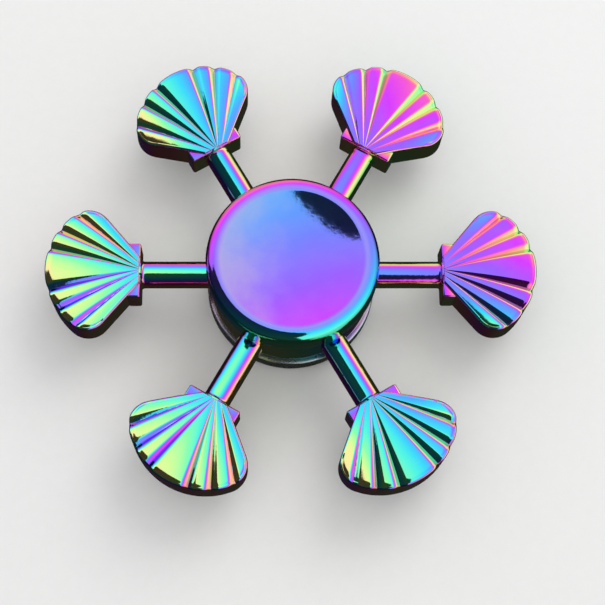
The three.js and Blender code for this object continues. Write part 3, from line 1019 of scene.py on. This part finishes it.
def build_castings():
    rainbow = plating("rainbow_plating", ARM_FILM)
    fit(top_cap(), "top_cap", "casting", "caps", plating("cap_plating", CAP_FILM, pale=0.0))
    worn = plating("bottom_cap_plating", CAP_FILM, pale=0.8, roughness=0.25)
    fit(bottom_cap(), "bottom_cap", "casting", "caps", worn)
    fit(hub_ring(), "hub_ring", "casting", "spinner", plating("hub_plating", HUB_FILM))
    pattern = shell_arm()
    for i in range(ARMS):
        arm = link_object("arm", pattern.data.copy())
        arm.data.transform(arm_turn(i))
        smooth(arm.data, 42)
        fit(arm, f"shell_arm_{i + 1}", "casting", "spinner", rainbow)
    bpy.data.objects.remove(pattern)


def build_bearing():
    race = steel("race_steel", srgb(206, 208, 212), roughness=0.18, grain=9.0)
    pressed = steel("pressed_steel", srgb(214, 214, 216), roughness=0.26, grain=6.0)
    spring = steel("spring_steel", srgb(150, 152, 158), roughness=0.3, grain=8.0)
    brassy = steel("cage_strip", srgb(214, 182, 110), roughness=0.28, grain=5.0)
    polished = steel("ball_steel", srgb(226, 228, 232), roughness=0.06, grain=3.0)
    fit(outer_race(), "outer_race", "ring", "spinner", race)
    fit(inner_race(), "inner_race", "ring", "caps", race)
    for side in ("top", "bottom"):
        disc, wire = shield(), snap_ring()
        if side == "bottom":
            disc, wire = turn_over(disc), turn_over(wire)
        fit(disc, f"shield_{side}", "disc", "spinner", pressed)
        fit(wire, f"snap_ring_{side}", "wire", "spinner", spring)
    fit(cage_half(), "cage_upper", "strip", "ball_cage", brassy)
    fit(turn_over(cage_half()), "cage_lower", "strip", "ball_cage", brassy)
    for i in range(BALLS):
        steel_ball = on_pitch_circle(ball(), ball_angle(i))
        fit(steel_ball, f"ball_{i + 1}", "steel", f"rolling_ball_{i + 1}", polished)
        rivet = on_pitch_circle(cage_rivet(), ball_angle(i, 0.5))
        fit(rivet, f"cage_rivet_{i + 1}", "head", "ball_cage", brassy)


# ---- studio ----

FLOOR_HALF_SIZE = 3.0  # metres
FLOOR_SHADED_TO = 55.0
FLOOR_LIT_FROM = 140.0
FLOOR_SHADE = 0.02
FLOOR_LIGHT = 0.7
WORLD_LIGHT = 0.92
LOW_LIGHT = 0.72
HIGH_LIGHT_EXTRA = 0.33
DARK_LIGHT = 0.04
DARK_SIDE = math.radians(222)
DARK_EDGE = 0.08
DARK_EDGE_SOFTNESS = 0.02
DARK_WEDGE = 0.85
DARK_FLARE = 0.55
CAMERA_AZIMUTH = math.radians(-7.05)
CAMERA_ELEVATION = math.radians(72.8)
CAMERA_ROLL = math.radians(6.7)
CAMERA_DISTANCE = 220.8
CAMERA_TARGET = (1.68, -4.55, 0)
CAMERA_LENS = 83.4


def floor_material():
    """Pale and matt. Mirror reflections see a painted glow in its place: painted shade close to the object and
    towards the dark side, painted light further out.
    """
    material, graph = new_material("pale_floor")
    place, _ = millimetres(graph)
    x, y, _ = graph.parts(place)
    radius = graph.length(x, y)
    grain = graph.noise(place, scale=0.6, detail=4.0, roughness=0.6)
    shade = graph.mix(grain, srgb(226, 226, 226), srgb(231, 231, 230))
    matt = {"Base Color": shade, "Roughness": 0.6, "Specular IOR Level": 0.25}
    # Painted glow for mirrors: painted shade near the object and on the dark side, painted light further out.
    side = graph.math("DIVIDE", graph.along(x, y, DARK_SIDE), graph.math("MAXIMUM", radius, 1.0))
    off_painted_shade_side = graph.smoothstep(side, 0.50, 0.30)
    lit = graph.times(graph.smoothstep(radius, FLOOR_SHADED_TO, FLOOR_LIT_FROM), off_painted_shade_side)
    mirrored = {"Color": WHITE, "Strength": graph.add(FLOOR_SHADE, graph.times(lit, FLOOR_LIGHT))}
    plain = graph.node("ShaderNodeBsdfPrincipled", matt)
    seen = graph.node("ShaderNodeEmission", mirrored)
    graph.node("ShaderNodeOutputMaterial", {"Surface": graph.unlike_in_mirrors(plain, seen)})
    return material


def floor():
    """A plain pale floor at the object's foot."""
    corners = [(-1, -1), (1, -1), (1, 1), (-1, 1)]
    mesh = bpy.data.meshes.new("floor")
    vertices = [(x * FLOOR_HALF_SIZE, y * FLOOR_HALF_SIZE, cad_low.z) for x, y in corners]
    mesh.from_pydata(vertices, [], [(0, 1, 2, 3)])
    mesh.materials.append(floor_material())
    link_object("floor", mesh)


def studio_world():
    """Soft white light all round. Mirror reflections see it with a dark wedge on one side."""
    world = bpy.data.worlds.new("studio")
    world.use_nodes = True
    bpy.context.scene.world = world
    graph = Graph(world.node_tree)
    direction = graph.node("ShaderNodeTexCoord").outputs["Generated"]
    x, y, z = graph.parts(direction)
    ragged = graph.times(graph.add(graph.noise(direction, scale=14.0, detail=5.0, roughness=0.65), -0.5), 0.10)
    edge = graph.times(graph.math("MINIMUM", graph.less(1.0, z), DARK_FLARE), DARK_WEDGE)
    inside = graph.less(graph.add(graph.along(x, y, DARK_SIDE), ragged), edge)
    dark = graph.smoothstep(inside, DARK_EDGE - DARK_EDGE_SOFTNESS, DARK_EDGE + DARK_EDGE_SOFTNESS)
    high = graph.smoothstep(z, -0.05, 0.30)
    bright = graph.add(LOW_LIGHT, graph.times(high, HIGH_LIGHT_EXTRA))
    mirrored = graph.add(bright, graph.times(dark, graph.less(DARK_LIGHT, bright)))
    plain = graph.node("ShaderNodeBackground", {"Color": WHITE, "Strength": WORLD_LIGHT})
    seen = graph.node("ShaderNodeBackground", {"Color": WHITE, "Strength": mirrored})
    graph.node("ShaderNodeOutputWorld", {"Surface": graph.unlike_in_mirrors(plain, seen)})


def soft_light():
    data = bpy.data.lights.new("soft_key", "AREA")
    data.energy = 0.9
    data.size = 0.35
    light = bpy.data.objects.new("soft_key", data)
    light.visible_glossy = False
    light.location = (0.22, 0.30, 0.42)
    light.rotation_euler = (-light.location).to_track_quat("-Z", "Y").to_euler()
    bpy.context.scene.collection.objects.link(light)


def camera():
    back = Vector((math.sin(CAMERA_AZIMUTH) * math.cos(CAMERA_ELEVATION),
                   -math.cos(CAMERA_AZIMUTH) * math.cos(CAMERA_ELEVATION),
                   math.sin(CAMERA_ELEVATION)))
    level = Vector((0, 0, 1)).cross(back).normalized()
    rise = back.cross(level)
    right = level * math.cos(CAMERA_ROLL) + rise * math.sin(CAMERA_ROLL)
    up = rise * math.cos(CAMERA_ROLL) - level * math.sin(CAMERA_ROLL)
    data = bpy.data.cameras.new("camera")
    data.lens = CAMERA_LENS
    data.clip_start, data.clip_end = 0.01, 20
    viewer = bpy.data.objects.new("camera", data)
    turn = Matrix((right, up, back)).transposed().to_4x4()
    place = (Vector(CAMERA_TARGET) + back * CAMERA_DISTANCE) * MM
    viewer.matrix_world = Matrix.Translation(place) @ turn
    bpy.context.scene.collection.objects.link(viewer)
    bpy.context.scene.camera = viewer


def look():
    bpy.context.scene.view_settings.view_transform = "Standard"
    bpy.context.scene.view_settings.look = "None"


build_castings()
build_bearing()
floor()
studio_world()
soft_light()
camera()
look()
